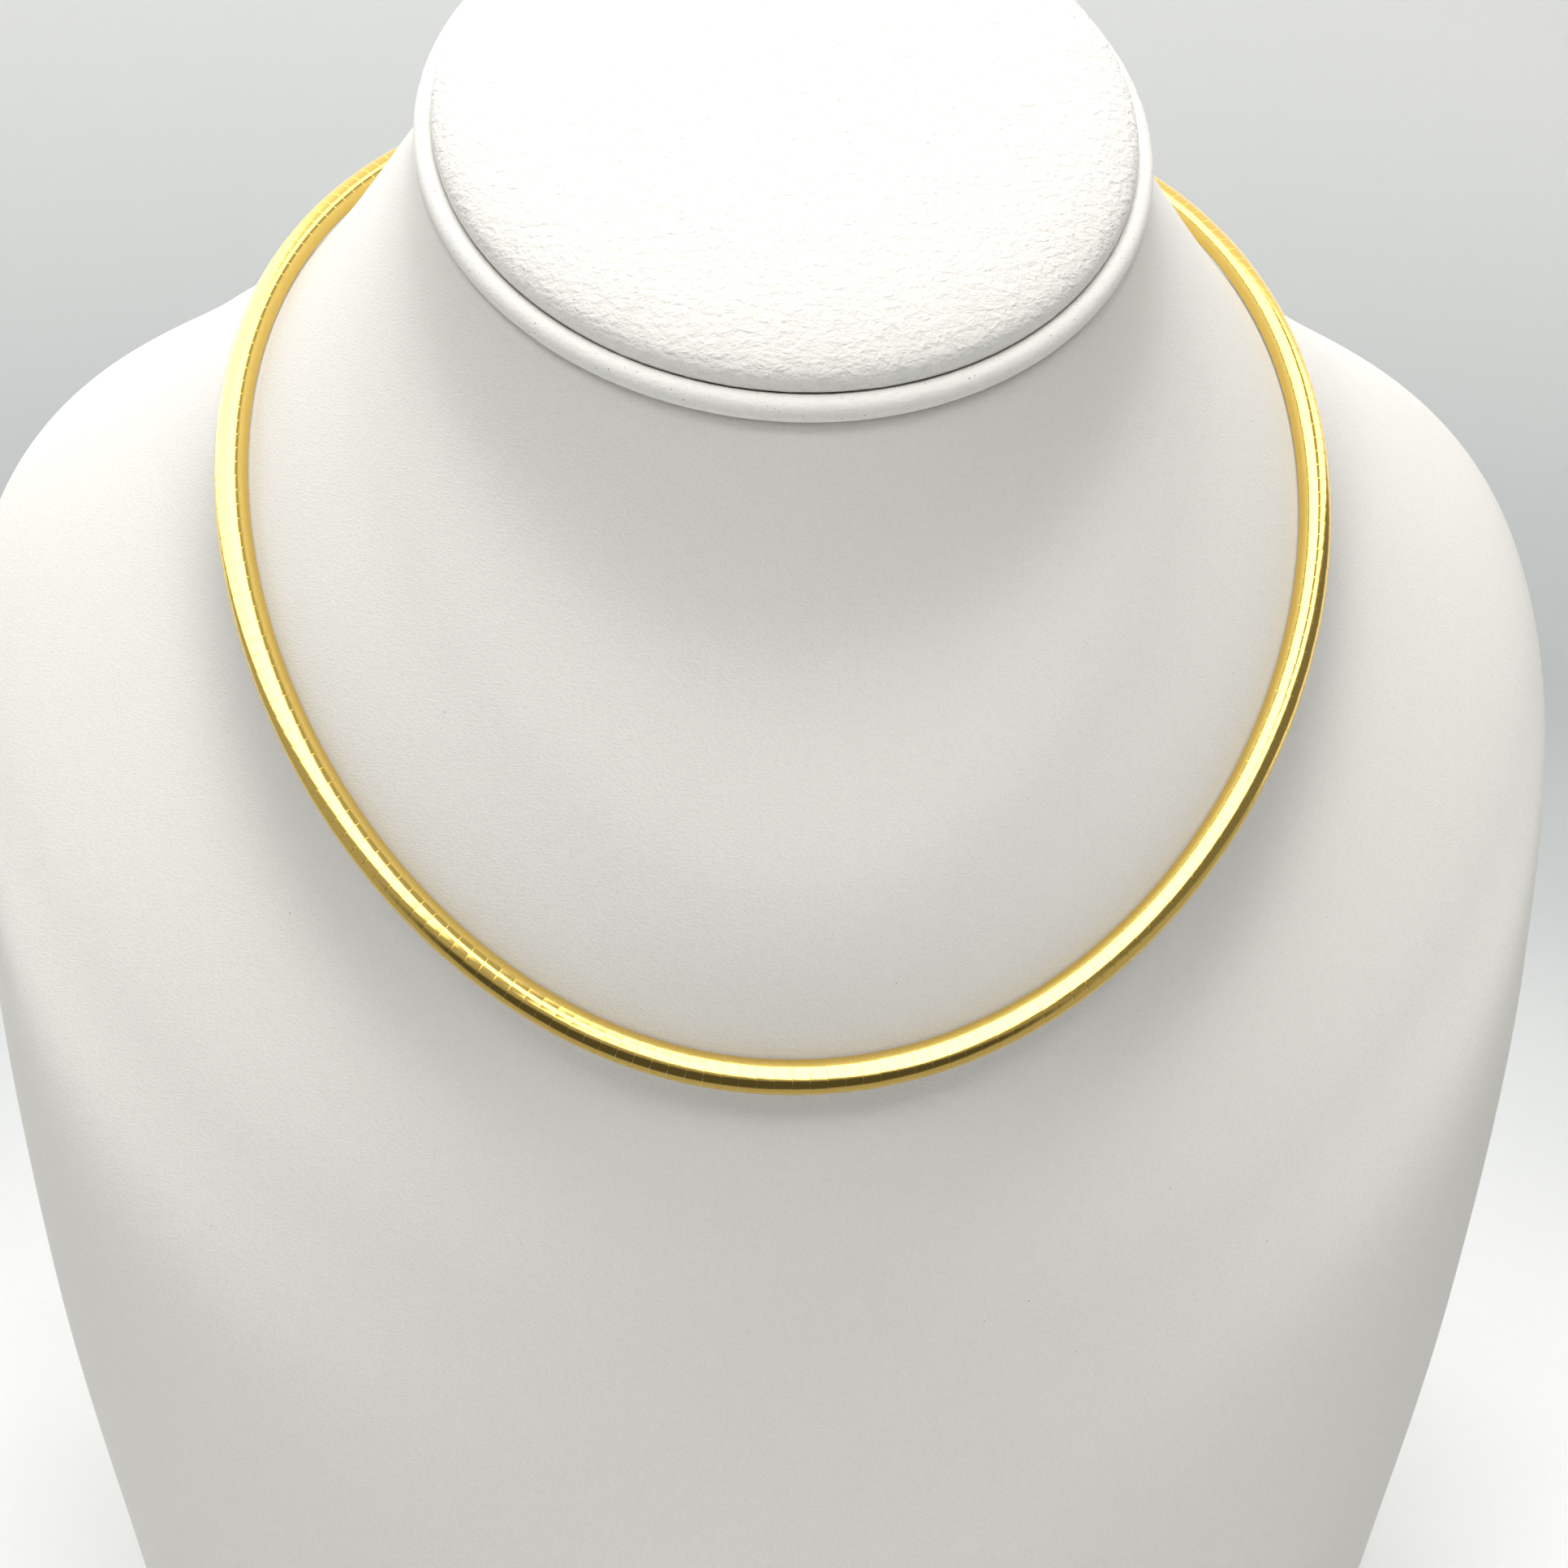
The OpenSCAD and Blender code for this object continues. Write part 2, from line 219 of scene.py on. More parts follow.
def leatherette(name, pale, shaded, grain, depth, pores):
    """White leatherette: shallow wrinkles of that size in metres, drawn out level, with finer grain
    over them, raised by that depth, faint clouds between two whites, painted shade that darkens
    the colour in the wrinkles' hollows, and dark pores."""
    material, tree, shader, place = finish_of(name)
    level = node(tree, "ShaderNodeMapping", {0: place, "Scale": (1, 1, 1.7)}).outputs[0]
    wrinkles = node(tree, "ShaderNodeTexNoise", {"Vector": level, "Scale": 0.9 / grain, "Detail": 2,
                                                 "Roughness": 0.55, "Distortion": 0.25})
    creases = node(tree, "ShaderNodeTexNoise", {"Vector": level, "Scale": 0.55 / grain, "Detail": 2, "Roughness": 0.6,
                                                "Offset": 1, "Gain": 1.6, "Distortion": 0.9},
                   noise_type="RIDGED_MULTIFRACTAL").outputs[0]
    fine = node(tree, "ShaderNodeTexNoise", {"Vector": place, "Scale": 2.6 / grain, "Detail": 2,
                                             "Roughness": 0.7}).outputs[0]
    folds = node(tree, "ShaderNodeMath", {0: creases, 1: -0.07, 2: wrinkles.outputs[0]},
                 operation="MULTIPLY_ADD").outputs[0]
    height = node(tree, "ShaderNodeMath", {0: fine, 1: 0.35, 2: folds}, operation="MULTIPLY_ADD").outputs[0]
    relief = node(tree, "ShaderNodeBump", {"Height": height, "Strength": 1, "Distance": depth})
    tree.links.new(relief.outputs[0], shader.inputs["Normal"])
    clouds = node(tree, "ShaderNodeTexNoise", {"Vector": place, "Scale": 38, "Detail": 2}).outputs[0]
    speck = node(tree, "ShaderNodeTexVoronoi", {"Vector": place, "Scale": 1700}, feature="F1")
    chosen = node(tree, "ShaderNodeSeparateColor", {0: speck.outputs["Color"]}).outputs[0]
    size = node(tree, "ShaderNodeMapRange", {"Value": chosen, "From Min": 1 - pores, "From Max": 1,
                                             "To Min": 0, "To Max": 0.14}).outputs[0]
    pore = node(tree, "ShaderNodeMath", {0: speck.outputs[0], 1: size}, operation="LESS_THAN").outputs[0]
    cover = colour_between(tree, clouds, pale, shaded)
    # Painted shade: the colour is darkened in the low parts of the wrinkles, where shade falls in the creases.
    crease_shade = node(tree, "ShaderNodeMapRange", {"Value": folds, "From Min": 0.25, "From Max": 0.5,
                                            "To Min": 0.3, "To Max": 0}).outputs[0]
    cover = colour_between(tree, crease_shade, cover, [0.88 * value for value in shaded])
    tree.links.new(colour_between(tree, pore, cover, (0.2, 0.19, 0.17)), shader.inputs["Base Color"])
    gloss = node(tree, "ShaderNodeMapRange", {"Value": fine, "To Min": 0.42, "To Max": 0.6})
    tree.links.new(gloss.outputs[0], shader.inputs["Roughness"])
    shader.inputs["Specular IOR Level"].default_value = 0.4
    return material


cover_white = leatherette("cover_leatherette", (0.8, 0.785, 0.758), (0.775, 0.76, 0.732), 0.00035, 0.00006, 0.004)

angles = np.radians(np.arange(0, 360, 1.25))
skin = ring_points(rows_at(rings, np.linspace(0.07, len(rings) - 1.02, 196)), angles)
rim_rows = [over_neck((neck_half_w - inset) * np.cos(angles), (neck_half_d - inset) * np.sin(angles), -drop)
            for inset, drop in ((20, 0), (5, 0), (0.8, 0), (0.3, 0.1), (0.08, 0.3))]
hem_rows = []
for inset, rise in ((0.1, 0.25), (0.5, 0.02), (1.1, 0), (6, 0), (30, 0)):
    x, y = oval(foot_half_w - inset, foot_half_d - inset, foot_squareness, angles)
    hem_rows.append(np.stack([x, y, np.full_like(x, base_z + rise)], -1))
points, faces = closed_skin(np.concatenate([rim_rows, skin, hem_rows]))
bust_cover = piece_of("bust_leatherette", points, faces, cover_white)
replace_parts(bust_cover, "bust_body")

# ---- Neck pad
# The real neck top is closed by a foam pad under the same leatherette, drawn down to a
# tight edge all round, where the cover puckers a little before it goes under the piping.

pad_white = leatherette("pad_leatherette", (0.83, 0.82, 0.795), (0.79, 0.78, 0.75), 0.0011, 0.00036, 0.01)

piping_d, piping_show, soft_gap, pad_h = 2.6, 1.9, 0.3, 9.0
piping_top = soft_gap + piping_d + soft_gap
groove_r = piping_d / 2 + 0.26
# The pad's outline from its middle to its foot: share of the way out to its widest line and
# height over the neck top. Under that line it is drawn in close round the piping.
pad_shares = np.array([[0, 1], [0.305, 0.984], [0.552, 0.934], [0.725, 0.852], [0.837, 0.754], [0.906, 0.64],
                       [0.95, 0.525], [0.978, 0.41], [0.993, 0.295], [0.999, 0.18], [1, 0.05]])
outline = [[share, piping_top + rise * (soft_gap + pad_h - piping_top)] for share, rise in pad_shares]
for groove_turn in (60, 35, 10):
    a = math.radians(groove_turn)
    inset = piping_d / 2 + groove_r * math.cos(a) - piping_show
    outline.append([1 - inset / neck_half_w, soft_gap + piping_d / 2 + groove_r * math.sin(a)])
outline = np.array(outline + [[outline[-1][0], 0.9], [outline[-1][0] - 0.004, soft_gap]])
profile = rows_at(outline, np.linspace(0.15, len(outline) - 1, 120))
angles = np.radians(np.arange(0, 360, 0.9))
random = np.random.default_rng(11)
# Puckers: short creases that run in from the edge, each as deep as its own number says.
turn = angles[None, :]
near_edge = np.clip((profile[:, :1] - 0.8) / 0.2, 0, 1) ** 1.6 * np.clip((profile[:, 1:] - 1.5) / 2, 0, 1)
puckers = np.zeros((len(profile), len(angles)))
for _ in range(60):
    at, wide, deep = random.uniform(0, 2 * np.pi), random.uniform(0.004, 0.016), random.uniform(0.03, 0.18)
    lean = random.uniform(-0.12, 0.12)
    away = (turn - at - lean * (1 - profile[:, :1]) + np.pi) % (2 * np.pi) - np.pi
    puckers += deep * np.exp(-(away / wide) ** 2) * (1 + 0.3 * np.cos(3 * away / wide))
swell = sum(0.08 / k * np.sin(k * turn + random.uniform(0, 6)) for k in (3, 5, 8, 13, 21))
height = profile[:, 1:] + near_edge * (swell - puckers)
draw = profile[:, :1] - near_edge * (0.3 * puckers - 0.1 * swell + 0.03) / 40
points, faces = closed_skin(over_neck((neck_half_w - piping_show) * draw * np.cos(turn),
                                      (neck_half_d - piping_show) * draw * np.sin(turn), height))
neck_pad = piece_of("neck_pad_cover", points, faces, pad_white)
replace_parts(neck_pad, "neck_pad")

# ---- Neck piping
# The real piping is a cord wrapped in a bias strip of the leatherette and glued round the
# edge of the neck top, in the groove between the pad and the neck. Its ends meet at the nape.

piping_white = leatherette("piping_leatherette", (0.84, 0.83, 0.805), (0.81, 0.8, 0.775), 0.0006, 0.00007, 0.9)


def tube_quads(stations, sides):
    """Faces of a tube that closes on itself: each joins two neighbours of a station's
    outline to the same two at the next station, the last one to the first."""
    k, j = np.meshgrid(np.arange(stations), np.arange(sides), indexing="ij")
    after = (k + 1) % stations
    beside = (j + 1) % sides
    return np.stack([k * sides + j, after * sides + j, after * sides + beside, k * sides + beside], -1).reshape(-1, 4)


# The cord is pressed a little out of round: it bears on the neck and all but meets the pad.
radius, bulge = piping_d / 2, 0.2
turn = np.radians(np.arange(0, 360, 0.5))[:, None]
round_it = np.radians(np.arange(0, 360, 15))[None, :]
across = np.stack([np.cos(turn) * neck_half_d, np.sin(turn) * neck_half_w])
across = across / np.linalg.norm(across, axis=0)
gathers = np.zeros((len(turn), round_it.shape[1]))
for _ in range(90):
    at, side, wide = random.uniform(0, 2 * np.pi), random.uniform(0, 2 * np.pi), random.uniform(0.004, 0.012)
    away = (turn - at + np.pi) % (2 * np.pi) - np.pi
    gathers += random.uniform(0.01, 0.05) * np.exp(-(away / wide) ** 2) * (0.5 + 0.5 * np.cos(round_it - side))
meeting = 0.22 * np.exp(-((turn - np.pi / 2) * neck_half_d / 0.25) ** 2)
thick = radius + bulge - gathers - meeting - 0.015 + 0.012 * np.sin(7 * turn + 1) * np.cos(round_it)
out = thick * np.cos(round_it) - radius
lift = 0.03 + radius + bulge + thick * np.sin(round_it)
points = over_neck(neck_half_w * np.cos(turn) + out * across[0], neck_half_d * np.sin(turn) + out * across[1], lift)
neck_piping = piece_of("neck_piping_cord", points.reshape(-1, 3), tube_quads(len(turn), round_it.shape[1]).tolist(),
                       piping_white)
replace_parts(neck_piping, "neck_piping")

# ---- Woven core
# The real core is a flat band of woven gold wire that the plates are threaded on and
# crimped round. It carries the pull and lets the chain bend, and ends inside the end caps.

path_angles = np.radians(np.arange(90, 450.05, 0.1))


def loop_points(angles):
    """Points of the chain's line at angles that run once round from the nape."""
    return ring_points(loop_ring[None], angles)[0]


path_runs = np.concatenate([[0], np.cumsum(np.linalg.norm(np.diff(loop_points(path_angles), axis=0), axis=1))])
chain_len = path_runs[-1]


def carried(run, x, z):
    """An outline carried along the chain: at each length run from the nape, x goes outwards
    from the loop and z away from the bust, both square to the chain's line. Also gives
    the three directions: outwards, away from the bust, and on along the chain."""
    angle = np.interp(run % chain_len, path_runs, path_angles)
    half_step = math.radians(0.5)
    ahead = loop_points(angle + half_step) - loop_points(angle - half_step)
    ahead /= np.linalg.norm(ahead, axis=-1, keepdims=True)
    lean = loop_up(oval(1, 1, loop_ring[7], angle)[1])
    up = lean - (lean * ahead).sum(-1, keepdims=True) * ahead
    up /= np.linalg.norm(up, axis=-1, keepdims=True)
    outward = np.cross(ahead, up)
    points = loop_points(angle)[:, None] + x[..., None] * outward[:, None] + z[..., None] * up[:, None]
    return points, outward, up, ahead


def give_uv(piece, u, v):
    """A map of a piece's points: how far along the chain each lies, and how far round it."""
    corners = np.zeros(len(piece.data.loops), int)
    piece.data.loops.foreach_get("vertex_index", corners)
    layer = piece.data.uv_layers.new(name="along_chain")
    layer.data.foreach_set("uv", np.stack([u, v], -1).reshape(-1, 2)[corners].astype(np.float32).ravel())


gold_weave, tree, shader, place = finish_of("gold_weave")
on_band = node(tree, "ShaderNodeUVMap", {}, uv_map="along_chain").outputs[0]
wires = node(tree, "ShaderNodeTexNoise", {"Vector": on_band, "Scale": 14, "Detail": 3}).outputs[0]
tree.links.new(colour_between(tree, wires, (0.95, 0.69, 0.26), (0.7, 0.46, 0.15)), shader.inputs["Base Color"])
shader.inputs["Metallic"].default_value = 1
wear = node(tree, "ShaderNodeMapRange", {"Value": wires, "To Min": 0.2, "To Max": 0.42})
tree.links.new(wear.outputs[0], shader.inputs["Roughness"])

core_w, core_t, core_gap, plate_t = 2.2, 0.45, 0.13, 0.3
clasp_len, cap_len, end_gap, cap_end = 9.0, 5.0, 0.2, 1.2
end_run = clasp_len / 2 + cap_len + 2 * end_gap
core_start = end_run - end_gap - 0.7 * (cap_len - cap_end)
run = np.arange(core_start, chain_len - core_start, 0.16)
side_turn = np.radians(np.arange(0, 360, 22.5))
band_x = core_w / 2 * np.sign(np.cos(side_turn)) * np.abs(np.cos(side_turn)) ** 0.6
band_z = core_t / 2 * np.sign(np.sin(side_turn)) * np.abs(np.sin(side_turn)) ** 0.6
# The weave: wires that slant one way over and under wires that slant the other way.
slant = 2 * np.pi * run[:, None] / 0.9
spread = 2 * np.pi * band_x[None, :] / 1.1
weave = 1 - 0.07 * (0.5 + 0.5 * np.cos(slant + spread) * np.cos(slant - spread))
points = carried(run, band_x * weave ** 0.3, plate_t + core_gap + core_t / 2 + band_z * weave)[0]
points, faces = closed_skin(points)
woven_core = piece_of("woven_core", points, faces, gold_weave)
give_uv(woven_core, np.repeat(run[:, None], len(side_turn), 1), np.tile(side_turn, (len(run), 1)))
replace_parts(woven_core, "mesh_core")

# ---- Plates
# The real plates are short strips of polished gold sheet, domed over the core, with both
# long edges folded in under it. They lie end to end, and hairline seams show between them.

gold_polish, tree, shader, place = finish_of("gold_polish")
on_chain = node(tree, "ShaderNodeUVMap", {}, uv_map="along_chain").outputs[0]
drawn_out = node(tree, "ShaderNodeMapping", {0: on_chain, "Scale": (0.9, 22, 1)}).outputs[0]
hairlines = node(tree, "ShaderNodeTexNoise", {"Vector": drawn_out, "Scale": 1.6, "Detail": 6,
                                              "Roughness": 0.6}).outputs[0]
dents = node(tree, "ShaderNodeTexNoise", {"Vector": place, "Scale": 1500, "Detail": 2}).outputs[0]
tree.links.new(colour_between(tree, dents, (0.8, 0.575, 0.16), (0.77, 0.55, 0.145)), shader.inputs["Base Color"])
shader.inputs["Metallic"].default_value = 1
polish = node(tree, "ShaderNodeMapRange", {"Value": hairlines, "From Min": 0.3, "From Max": 0.75,
                                           "To Min": 0.055, "To Max": 0.15}).outputs[0]
tree.links.new(polish, shader.inputs["Roughness"])
height = node(tree, "ShaderNodeMath", {0: hairlines, 1: dents}, operation="ADD").outputs[0]
relief = node(tree, "ShaderNodeBump", {"Height": height, "Strength": 0.25, "Distance": 0.000008})
tree.links.new(relief.outputs[0], shader.inputs["Normal"])

dome_r = ((plate_w / 2) ** 2 + plate_h ** 2) / (2 * plate_h)


def dome_outline(steps, radius, floor, fold, lip):
    """Outline of the domed section, from the left lip over the crown to the right lip: an
    arc of that radius about the dome's centre, down to the folds, then in along the floor."""
    reach = math.acos((floor + fold - plate_h + dome_r) / radius)
    arc = np.linspace(-reach, reach, steps)
    x = radius * np.sin(arc)
    z = plate_h - dome_r + radius * np.cos(arc)
    foot = math.sqrt(radius ** 2 - (floor - plate_h + dome_r) ** 2)
    ends_x = np.array([lip, foot - fold, foot - 0.25 * fold])
    ends_z = np.array([floor, floor, floor + 0.3 * fold])
    return np.concatenate([-ends_x, x, ends_x[::-1]]), np.concatenate([ends_z, z, ends_z[::-1]])


def outline_normals(x, z):
    """Directions out of an open outline: its own direction at each point, turned a quarter."""
    dx, dz = np.gradient(x), np.gradient(z)
    length = np.hypot(dx, dz)
    return -dz / length, dx / length


plate_len, plate_gap, seam = 1.74, 0.19, 0.032
plates_run = chain_len - 2 * end_run + plate_gap
plate_count = int(plates_run / (plate_len + plate_gap))
pitch = plates_run / plate_count
outer_x, outer_z = dome_outline(15, dome_r, 0, 0.16, 1.2)
normal_x, normal_z = outline_normals(outer_x, outer_z)
inner_x, inner_z = dome_outline(5, dome_r - plate_t, plate_t, 0.1, 1.2)
round_over = 0.025
half = (pitch - seam) / 2
offsets = np.array([-half, -half + round_over, half - round_over, half])
insets = np.array([round_over, 0, 0, round_over])
middles = end_run - plate_gap / 2 + (np.arange(plate_count) + 0.5) * pitch
# Each plate sits a little turned and tipped on the core, so the reflections break at seams.
random = np.random.default_rng(5)
rolls = random.normal(0, math.radians(0.45), plate_count)
tips = random.normal(0, math.radians(0.25), plate_count)


def plate_points(x, z, offset):
    """One row of points for every plate, at that distance from the plate's middle, turned
    about the chain's line by the plate's roll and lifted by its tip."""
    x, z = (x * np.cos(rolls)[:, None] + (z - 0.8) * np.sin(rolls)[:, None],
            0.8 + (z - 0.8) * np.cos(rolls)[:, None] - x * np.sin(rolls)[:, None])
    return carried(middles + offset, x, z + np.tan(tips)[:, None] * offset)


rows, shades = [], []
for offset, inset, end in zip(offsets, insets, (-0.35, -0.01, 0.01, 0.35)):
    points, outward, up, ahead = plate_points(outer_x - inset * normal_x, outer_z - inset * normal_z, offset)
    rows.append(points)
    normal_xr = normal_x * np.cos(rolls)[:, None] + normal_z * np.sin(rolls)[:, None]
    normal_zr = normal_z * np.cos(rolls)[:, None] - normal_x * np.sin(rolls)[:, None]
    shades.append(normal_xr[..., None] * outward[:, None] + normal_zr[..., None] * up[:, None]
                  + (end - np.tan(tips)[:, None, None]) * ahead[:, None])
within_x, within_z = outline_normals(inner_x, inner_z)
for offset in offsets[[0, 3]]:
    points, outward, up, ahead = plate_points(inner_x, inner_z, offset)
    rows.append(points)
    shades.append(-within_x[:, None] * outward[:, None] - within_z[:, None] * up[:, None])
n, m = len(outer_x), len(inner_x)
per_plate = 4 * n + 2 * m
points = np.concatenate(rows, 1)
shades = np.concatenate(shades, 1)
k = np.arange(n - 1)
faces = [[j * n + i, j * n + i + 1, (j + 1) * n + i + 1, (j + 1) * n + i] for j in range(3) for i in k]
first, last = 4 * n, 4 * n + m
for i in range(m - 1):
    faces.append([first + i, last + i, last + i + 1, first + i + 1])
    faces.append([2 * i + 2, 2 * i + 1, 2 * i, first + i, first + i + 1])
    faces.append([3 * n + 2 * i, 3 * n + 2 * i + 1, 3 * n + 2 * i + 2, last + i + 1, last + i])
faces.append([0, n, 2 * n, 3 * n, last, first])
faces.append([4 * n - 1, 3 * n - 1, 2 * n - 1, n - 1, first + m - 1, last + m - 1])
faces = [[corner + i * per_plate for corner in face] for i in range(plate_count) for face in faces]
plates = piece_of("plates_polished", points.reshape(-1, 3), faces, gold_polish)
shades = shades.reshape(-1, 3) / np.linalg.norm(shades.reshape(-1, 3), axis=1, keepdims=True)
plates.data.normals_split_custom_set_from_vertices(shades.tolist())
run_of = np.concatenate([np.full(n, o) for o in offsets] + [np.full(m, o) for o in offsets[[0, 3]]])
round_of = np.concatenate([np.cumsum(np.hypot(np.gradient(outer_x), np.gradient(outer_z)))] * 4
                          + [np.cumsum(np.hypot(np.gradient(inner_x), np.gradient(inner_z)))] * 2)
give_uv(plates, middles[:, None] + run_of[None], np.tile(round_of, (plate_count, 1)))
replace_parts(plates, "omega_plates")

# ---- End caps
# The real chain ends in two solid domed caps, soldered on over the core, with the same
# section as the plates and softly rounded ends.


def domed_bar(name, start, end, rounding):
    """A solid bar with the chain's domed section between two lengths run, its ends rounded:
    its outline shrinks over the last stretch as a quarter circle does."""
    quarter = np.radians(np.linspace(90, 0, 7))
    x, z = dome_outline(33, dome_r, 0, 0.16, 0.2)
    out_x, out_z = outline_normals(x, z)
    curve = np.concatenate([np.cos(quarter), np.full(24, 1), np.cos(quarter)[::-1]])
    inset = rounding * (1 - curve)
    run = np.concatenate([start + rounding * (1 - np.sin(quarter)),
                          np.linspace(start + rounding, end - rounding, 26)[1:-1],
                          end - rounding * (1 - np.sin(quarter[::-1]))])
    points = carried(run, x - inset[:, None] * out_x, z - inset[:, None] * out_z)[0]
    flat, faces = closed_skin(points[:, ::-1])
    piece = piece_of(name, flat, faces, gold_polish)
    give_uv(piece, np.repeat(run[:, None], len(x), 1), np.tile(x[::-1], (len(run), 1)))
    return piece


cap_start = clasp_len / 2 + end_gap
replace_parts(domed_bar("end_cap_left_rounded", cap_start, cap_start + cap_len, 0.22), "end_cap_left")
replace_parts(domed_bar("end_cap_right_rounded", chain_len - cap_start - cap_len, chain_len - cap_start, 0.22),
            "end_cap_right")

# ---- Clasp
# The real clasp is a box with a sprung tongue, hidden behind the neck. Closed, it shows as
# one domed piece of the chain's own section between the two end caps.

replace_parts(domed_bar("clasp_closed", chain_len - clasp_len / 2, chain_len + clasp_len / 2, 0.3), "clasp")

# ---- Studio
# A bowl of pale paper, flat where the bust stands and curving up on every side, with soft
# lights round it. A far dome, which only shiny surfaces see, holds what the gold mirrors.


def stage_piece(name, points, faces, material):
    """A piece of the studio in metres, not part of the object."""
    mesh = bpy.data.meshes.new(name)
    mesh.from_pydata(points.reshape(-1, 3).tolist(), [], faces.tolist())
    mesh.shade_smooth()
    mesh.materials.append(material)
    piece = bpy.data.objects.new(name, mesh)
    bpy.context.scene.collection.objects.link(piece)
    return piece


def paint(piece, shade):
    """A value for each point of a piece, which its material reads as the attribute "shade"."""
    piece.data.attributes.new("shade", "FLOAT", "POINT").data.foreach_set("value", shade.ravel().astype(np.float32))


sweep_paper, tree, shader, place = finish_of("sweep_paper")
shade = node(tree, "ShaderNodeAttribute", {}, attribute_name="shade").outputs["Fac"]
tooth = node(tree, "ShaderNodeTexNoise", {"Vector": place, "Scale": 400, "Detail": 1}).outputs[0]
# The paper's colour goes from a painted-shade grey where "shade" is 0 to the paper's white where it is 1.
paper = colour_between(tree, shade, (0.44, 0.47, 0.475), (0.92, 0.93, 0.93))
fibres = node(tree, "ShaderNodeMath", {0: tooth, 1: 0.05}, operation="MULTIPLY").outputs[0]
tree.links.new(colour_between(tree, fibres, paper, (0.5, 0.5, 0.5)), shader.inputs["Base Color"])
shader.inputs["Roughness"].default_value = 0.9
turn = np.radians(np.arange(0, 360, 3))
bend = np.radians(np.linspace(0, 90, 24))
reach = np.concatenate([np.linspace(0, 0.98, 32), 1 + 0.4 * np.sin(bend), [1.4, 1.4]])
rise = np.concatenate([np.zeros(32), 0.4 - 0.4 * np.cos(bend), [1, 1.7]])
bowl_half_w, bowl_back, bowl_front, bowl_y = 1.2, 0.95, 1.05, -0.55
half_d = np.where(np.sin(turn) > 0, bowl_back, bowl_front)
bowl = np.stack([reach[:, None] * bowl_half_w * np.cos(turn), bowl_y + reach[:, None] * half_d * np.sin(turn),
                 np.repeat(rise[:, None], len(turn), 1)], -1)
paper_bowl = stage_piece("paper_bowl", bowl, skin_quads(len(reach), len(turn)), sweep_paper)
# Painted shade on the paper: it is white under and before the bust. Behind it, painted shade
# makes it greyer towards the bend, and it is paler again up the wall.
far = np.linalg.norm(bowl, axis=-1)
before = np.clip(-bowl[..., 1] / 0.15, 0, 1)
shade_behind = np.interp(far, [0.15, 0.24, 0.36, 0.52, 0.62, 0.8], [1, 0.6, 0.2, 0.06, 0.26, 0.85])
paint(paper_bowl, shade_behind + (1 - shade_behind) * before)
paper_bowl.visible_glossy = False

gold_view = bpy.data.materials.new("gold_view")
gold_view.use_nodes = True
tree = gold_view.node_tree
tree.nodes.clear()
shade = node(tree, "ShaderNodeAttribute", {}, attribute_name="shade").outputs["Fac"]
# Light that the gold passes on to the leatherette is weaker than what the eye sees in the
# gold, as the soft boxes stand near and light only a part of the chain each.
scattered = node(tree, "ShaderNodeLightPath", {}).outputs["Diffuse Depth"]
passed_on = node(tree, "ShaderNodeMapRange", {"Value": scattered, "To Min": 1, "To Max": 0.45}).outputs[0]
shade = node(tree, "ShaderNodeMath", {0: shade, 1: passed_on}, operation="MULTIPLY").outputs[0]
glow = node(tree, "ShaderNodeEmission", {"Strength": shade, "Color": (1, 0.985, 0.96, 1)}).outputs[0]
node(tree, "ShaderNodeOutputMaterial", {0: glow})
gold_view.cycles.emission_sampling = "NONE"
bearing = np.arange(-180, 180, 1.5)
height = np.concatenate([np.arange(89.9, -90, -1.2), [-89.9]])[:, None]
b, h = np.radians(bearing), np.radians(height)
dome_reach = 3
dome = np.stack([np.sin(b) * np.cos(h), -np.cos(b) * np.cos(h), np.sin(h) + 0 * b], -1) * dome_reach
# The dome's brightness, by bearing from the camera's side and by height in degrees: soft
# boxes above a line that rises and falls, a dark patch in front, dim ones beside it.
boxes_from = np.interp(bearing, [-180, -155, -120, -90, -75, -60, -45, -30, -15, -2,
                                 5, 15, 30, 50, 72, 90, 105, 120, 135, 150, 180],
                       [5, 2, 8, 13, 13, 20, 24, 25, 24, 23, 17, 10, 30, 40, 45, 37, 27, 20, 25, 40, 20])
box_power = np.interp(bearing, [-165, -150, -138, -100, -60, -20, 30, 60, 100, 114, 122],
                      [1.2, 1.6, 3.6, 3.7, 4.3, 5, 5, 4.3, 3.8, 3.6, 1.2])


def patch(bearing_of, height_of, half_wide, half_high, soft):
    """A soft-edged oval on the dome, 1 inside and 0 outside."""
    away = np.hypot((bearing - bearing_of) / half_wide, (height - height_of) / half_high)
    return np.clip((1 + soft / 2 - away) / soft, 0, 1)


above = np.clip((height - boxes_from) / 4 + 0.5, 0, 1)
glow = 0.5 + 0.75 * np.clip((np.abs(bearing) - 108) / 20, 0, 1) * np.clip((height + 22) / 8, 0, 1)
glow += (1.3 - glow) * patch(107, -4, 17, 11, 0.5)
glow += (0.24 - glow) * patch(70, 14, 42, 24, 0.35)
glow += (0.1 - glow) * patch(-8, -23, 54, 29, 0.3)
glow += (box_power - glow) * above * (3 - 2 * above) * above
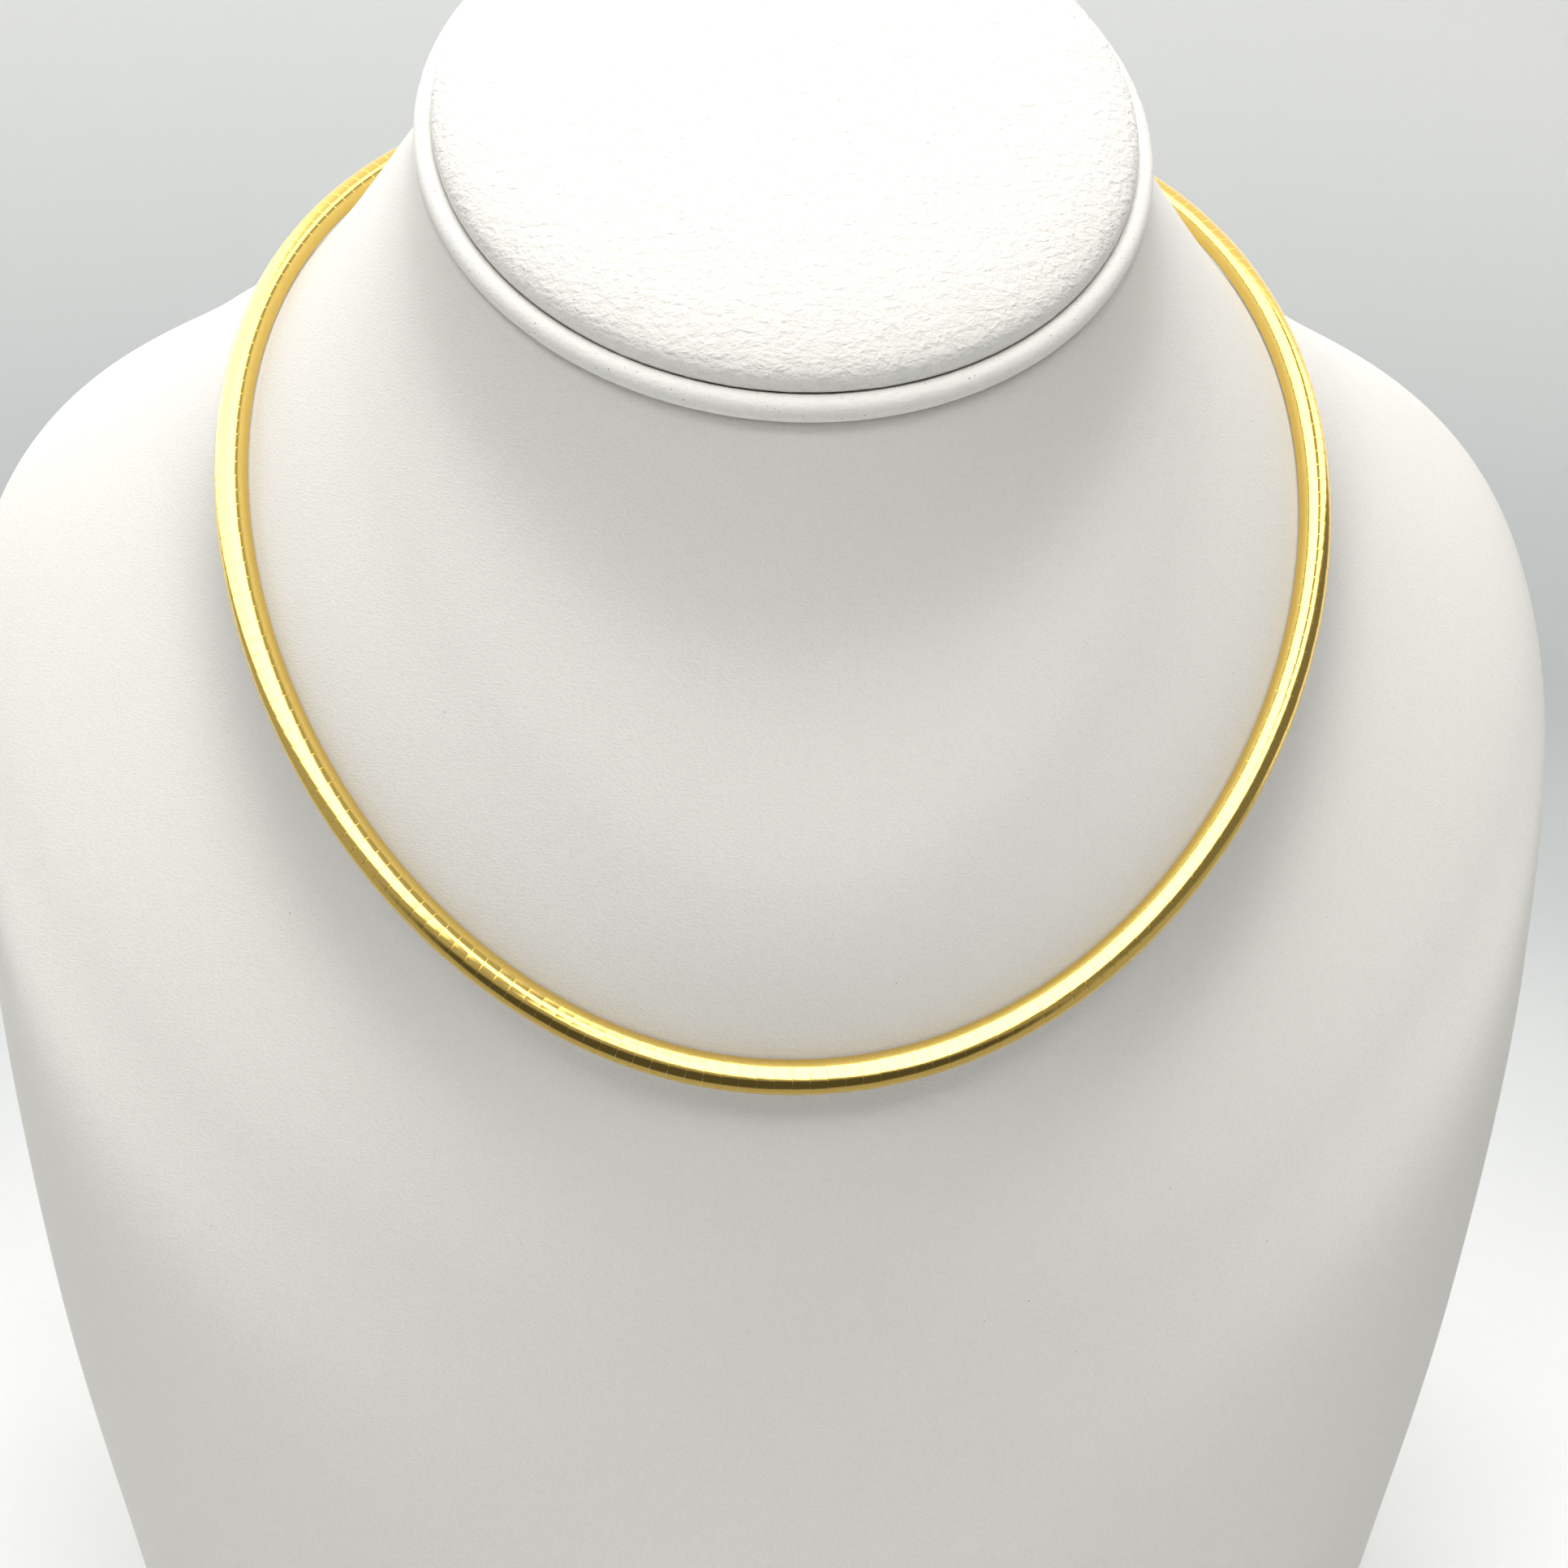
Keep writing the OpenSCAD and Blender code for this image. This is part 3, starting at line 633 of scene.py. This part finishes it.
# Between two of the boxes a dim gap climbs from the camera's left to high on the right.
gap_at = np.interp(bearing, [-30, -24, -14, -8, 0, 10, 24, 43, 66, 89, 110],
                   [15, 22, 30, 37, 45, 53, 59, 63, 65, 62, 64])
gap = (np.clip(2.2 - np.abs(height - gap_at) / 4, 0, 1)
       * np.interp(bearing, [-34, -28, -2, 3, 17, 24, 110, 122], [0, 1, 1, 0, 0, 1, 1, 0]))
glow += (0.5 - glow) * gap
gold_dome = stage_piece("gold_dome", dome, skin_quads(len(height), len(bearing))[:, ::-1], gold_view)
paint(gold_dome, glow)
gold_dome.visible_camera = gold_dome.visible_diffuse = False
gold_dome.visible_shadow = gold_dome.visible_transmission = False


def soft_light(name, bearing, height, distance, size, power, colour):
    """A soft light that faces the bust: its bearing in degrees from the camera's side towards
    +X, its height in degrees, its distance, width and height in metres, and its power."""
    data = bpy.data.lights.new(name, "AREA")
    data.shape = "RECTANGLE"
    data.size, data.size_y = size
    data.energy = power
    data.color = colour
    light = bpy.data.objects.new(name, data)
    bpy.context.scene.collection.objects.link(light)
    b, h = math.radians(bearing), math.radians(height)
    away = Vector((math.sin(b) * math.cos(h), -math.cos(b) * math.cos(h), math.sin(h)))
    light.location = Vector((0, 0, 0.14)) + away * distance
    light.rotation_euler = away.to_track_quat("Z", "Y").to_euler()
    light.visible_camera = light.visible_glossy = False


soft_light("key_light", 0, 60, 0.85, (0.9, 0.2), 3.65, (1, 0.99, 0.95))
soft_light("overhead_light", 0, 82, 0.85, (0.45, 0.45), 3.8, (1, 0.99, 0.97))
soft_light("back_light", 180, 60, 0.85, (0.45, 0.45), 3, (1, 0.99, 0.96))
soft_light("left_light", -80, 20, 0.85, (0.5, 0.4), 0.65, (1, 1, 0.98))

world = bpy.data.worlds.new("studio_air")
world.use_nodes = True
world.node_tree.nodes["Background"].inputs[0].default_value = (1, 1, 1, 1)
world.node_tree.nodes["Background"].inputs[1].default_value = 0.02
bpy.context.scene.world = world
bpy.context.scene.view_settings.view_transform = "Standard"

lens = bpy.data.cameras.new("photo_lens")
lens.lens, lens.sensor_width = 55.9, 36
lens.clip_start, lens.clip_end = 0.01, 20
camera = bpy.data.objects.new("photo_camera", lens)
bpy.context.scene.collection.objects.link(camera)
camera.matrix_world = (Matrix.Translation((-0.0218, -0.2882, 0.2409)) @ Matrix.Rotation(math.radians(-4.6), 4, "Z")
                       @ Matrix.Rotation(math.radians(70), 4, "X") @ Matrix.Rotation(math.radians(1.18), 4, "Z"))
bpy.context.scene.camera = camera
